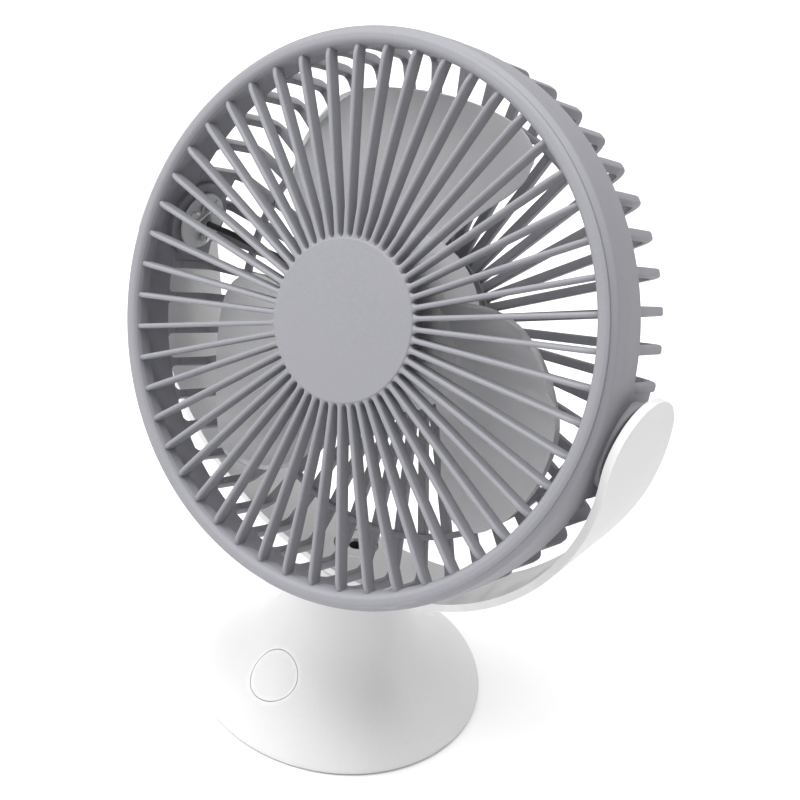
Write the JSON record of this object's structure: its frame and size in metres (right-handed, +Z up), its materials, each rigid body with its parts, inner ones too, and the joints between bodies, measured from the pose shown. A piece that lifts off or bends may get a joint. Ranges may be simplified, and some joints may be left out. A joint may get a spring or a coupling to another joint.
{
  "type": "desk fan",
  "caption": "Desk fan: round grilled head with a three-blade impeller, tilting in a C-shaped yoke that swivels on a trumpet-shaped foot with a push button.",
  "frame": {"origin": "centre of the underside of the foot, on the table", "axes": "+Z up, the fan's face looks along -Y and 22 degrees upward at rest, +X is to the right for someone who faces the fan"},
  "size_m": [0.2024, 0.1145, 0.2577],
  "materials": {
    "grey_shell": "satin moulded plastic",
    "blade": "satin moulded plastic",
    "white_shell": "satin moulded plastic",
    "black_plastic": "moulded nylon",
    "foot_rubber": "matt silicone",
    "steel": "turned and plated",
    "magnet": "bonded ferrite",
    "winding": "enamelled copper wire",
    "board": "solder mask",
    "battery_wrap": "pouch foil"
  },
  "bodies": {
    "base": {"foot_shell": "white_shell", "foot_floor": "white_shell", "foot_pad": "foot_rubber", "ballast_plate": "steel", "foot_screw_1": "steel", "foot_screw_2": "steel", "foot_screw_3": "steel", "foot_screw_4": "steel", "battery_pack": "battery_wrap", "charge_board": "board", "usb_socket": "steel", "tact_switch": "black_plastic", "switch_board": "board", "swivel_bush": "black_plastic"},
    "button": {"power_button": "white_shell"},
    "yoke": {"yoke_arm": "white_shell", "right_friction_washer": "black_plastic", "left_friction_washer": "black_plastic", "right_pivot_keeper": "white_shell", "left_pivot_keeper": "white_shell", "right_keeper_screw_1": "steel", "right_keeper_screw_2": "steel", "left_keeper_screw_1": "steel", "left_keeper_screw_2": "steel", "lead_clip": "steel", "swivel_bolt": "steel", "swivel_washer": "black_plastic", "swivel_nut": "steel"},
    "head": {"front_grille": "grey_shell", "rear_cage": "grey_shell", "motor_mount": "black_plastic", "motor_board": "board", "stator_core": "steel", "stator_winding": "winding", "front_bearing": "steel", "rear_bearing": "steel", "motor_screw_1": "steel", "motor_screw_2": "steel", "motor_screw_3": "steel", "motor_lead": "black_plastic"},
    "rotor": {"impeller": "blade", "motor_shaft": "steel", "rotor_can": "steel", "rotor_magnet": "magnet", "impeller_nut": "steel"}
  },
  "joints": [
    {"name": "base_swivel", "type": "hinge", "parent": "base", "child": "yoke", "pos_m": [0, 0, 0.0583], "axis": [0, 0, 1], "range_deg": [-97, 83]},
    {"name": "head_tilt", "type": "hinge", "parent": "yoke", "child": "head", "pos_m": [0, 0, 0.161], "axis": [-1, 0, 0], "range_deg": [-22, 68]},
    {"name": "fan_spin", "type": "hinge", "parent": "head", "child": "rotor", "pos_m": [0, 0, 0.161], "axis": [0, -0.9272, 0.3746], "continuous": true},
    {"name": "button_press", "type": "slide", "parent": "base", "child": "button", "axis": [0.0934, 0.7603, -0.6428], "range_m": [0, 0.0008], "stiffness_N_per_m": 1500}
  ]
}
